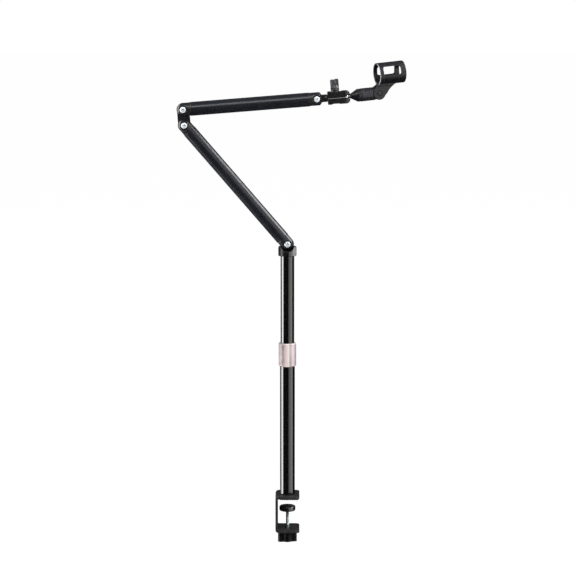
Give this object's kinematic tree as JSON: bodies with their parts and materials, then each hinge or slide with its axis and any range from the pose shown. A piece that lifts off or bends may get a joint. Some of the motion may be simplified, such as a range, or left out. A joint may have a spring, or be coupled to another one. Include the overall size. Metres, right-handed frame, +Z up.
{
  "type": "microphone boom stand",
  "caption": "Desk-clamp boom stand with a telescopic black pole, rose collar, two folding tube arms, ball joint head and a plastic microphone clip.",
  "frame": {"origin": "where the pole's axis meets the desk face, the underside of the pad under the upper jaw", "axes": "+Z up along the pole; +X from the clamp's spine towards its open throat, the way the head points; the arms fold in the XZ plane"},
  "size_m": [0.3642, 0.0716, 0.7785],
  "materials": {
    "clamp_black": "textured powder coat",
    "pole_black": "high gloss",
    "arm_black": "satin anodised",
    "joint_black": "satin",
    "cup_black": "gloss",
    "rose_collar": "satin anodised rose gold",
    "zinc": "zinc plated",
    "screw_steel": "polished",
    "ball_chrome": "polished",
    "brass_insert": "turned",
    "plug_alloy": "as machined",
    "nylon": "natural",
    "foot_black": "semi gloss",
    "rubber_black": "matt",
    "knob_black": "moulded",
    "head_black": "moulded, satin",
    "clip_black": "moulded, fine texture",
    "black_oxide": "black oxide"
  },
  "bodies": {
    "stand": {"clamp_bracket": "clamp_black", "jaw_pad": "rubber_black", "pole_screw": "zinc", "base_plug": "plug_alloy", "clamp_nut": "zinc", "lower_tube": "pole_black", "lock_body": "joint_black", "lock_collet": "nylon"},
    "foot": {"pressure_disc": "foot_black", "pressure_pad": "rubber_black"},
    "clamp_spindle": {"clamp_screw": "zinc", "clamp_knob": "knob_black"},
    "collar": {"lock_collar": "rose_collar"},
    "pole": {"upper_tube": "pole_black", "guide_bush": "nylon", "top_plug": "plug_alloy"},
    "pan": {"pan_head": "cup_black", "pan_bolt": "zinc", "pan_washer": "nylon", "pan_spring_washer": "zinc", "pan_locknut": "zinc"},
    "lower_arm": {"lower_arm_tube": "arm_black", "lower_arm_fork_base": "joint_black", "lower_arm_fork_elbow": "joint_black", "lower_arm_screws": "screw_steel", "lower_arm_nuts": "zinc", "lower_arm_washers": "nylon"},
    "link": {"elbow_link": "joint_black"},
    "upper_arm": {"upper_arm_tube": "arm_black", "upper_arm_fork_elbow": "joint_black", "upper_arm_fork_head": "joint_black", "upper_arm_screws": "screw_steel", "upper_arm_nuts": "zinc", "upper_arm_washers": "nylon"},
    "tongue": {"head_tongue": "joint_black"},
    "head": {"head_shell_upper": "head_black", "head_shell_lower": "head_black", "wing_nut": "zinc", "wing_washer": "black_oxide"},
    "wing": {"wing_knob": "knob_black", "wing_stud": "zinc"},
    "ball": {"ball_stud": "ball_chrome"},
    "hub": {"hub_cone": "clip_black", "mic_hub": "clip_black", "hub_insert": "brass_insert"},
    "clip": {"clip_holder": "clip_black", "clip_pivot_screw": "black_oxide", "clip_pivot_nut": "black_oxide"}
  },
  "joints": [
    {"name": "foot_slide", "type": "slide", "parent": "stand", "child": "foot", "axis": [0, 0, 1], "range_m": [-0.0218, 0.0017]},
    {"name": "clamp_screw_turn", "type": "hinge", "parent": "foot", "child": "clamp_spindle", "pos_m": [0, 0, -0.03], "axis": [0, 0, 1], "range_deg": [-9960, 780]},
    {"name": "collar_twist", "type": "hinge", "parent": "stand", "child": "collar", "pos_m": [0, 0, 0.2337], "axis": [0, 0, 1], "range_deg": [0, 120]},
    {"name": "pole_slide", "type": "slide", "parent": "stand", "child": "pole", "axis": [0, 0, 1], "range_m": [-0.14, 0.03]},
    {"name": "pan_swivel", "type": "hinge", "parent": "pole", "child": "pan", "pos_m": [0, 0, 0.3973], "axis": [0, 0, 1], "continuous": true},
    {"name": "base_tilt", "type": "hinge", "parent": "pan", "child": "lower_arm", "pos_m": [0, 0, 0.4143], "axis": [0, 1, 0], "range_deg": [-4, 85]},
    {"name": "elbow_lower", "type": "hinge", "parent": "lower_arm", "child": "link", "pos_m": [-0.16302, 0, 0.60383], "axis": [0, 1, 0], "range_deg": [-126, 53]},
    {"name": "elbow_upper", "type": "hinge", "parent": "link", "child": "upper_arm", "pos_m": [-0.16488, 0, 0.62876], "axis": [0, 1, 0], "range_deg": [-179, 0.5]},
    {"name": "head_tilt", "type": "hinge", "parent": "upper_arm", "child": "tongue", "pos_m": [0.04646, 0, 0.64555], "axis": [0, -1, 0], "range_deg": [-90, 90]},
    {"name": "head_roll", "type": "hinge", "parent": "tongue", "child": "head", "pos_m": [0.06669, 0, 0.64717], "axis": [0.9968, 0, 0.0802], "continuous": true},
    {"name": "wing_screw_turn", "type": "hinge", "parent": "head", "child": "wing", "pos_m": [0.07596, 0, 0.64792], "axis": [-0.0802, 0, 0.9968], "range_deg": [0, 360]},
    {"name": "ball_swing", "type": "hinge", "parent": "head", "child": "ball", "pos_m": [0.09111, 0, 0.64914], "axis": [-0.0802, 0, 0.9968], "range_deg": [-57, 22]},
    {"name": "hub_spin", "type": "hinge", "parent": "ball", "child": "hub", "pos_m": [0.11963, 0.00902, 0.65143], "axis": [0.9506, 0.3007, 0.0765], "continuous": true},
    {"name": "clip_tilt", "type": "hinge", "parent": "hub", "child": "clip", "pos_m": [0.1434, 0.01654, 0.65335], "axis": [-0.2997, 0.9537, -0.0241], "range_deg": [-9.5, 90.5]}
  ],
  "couplings": [
    {"joint": "clamp_screw_turn", "follows": "foot_slide", "rad_per_m": 7854}
  ]
}
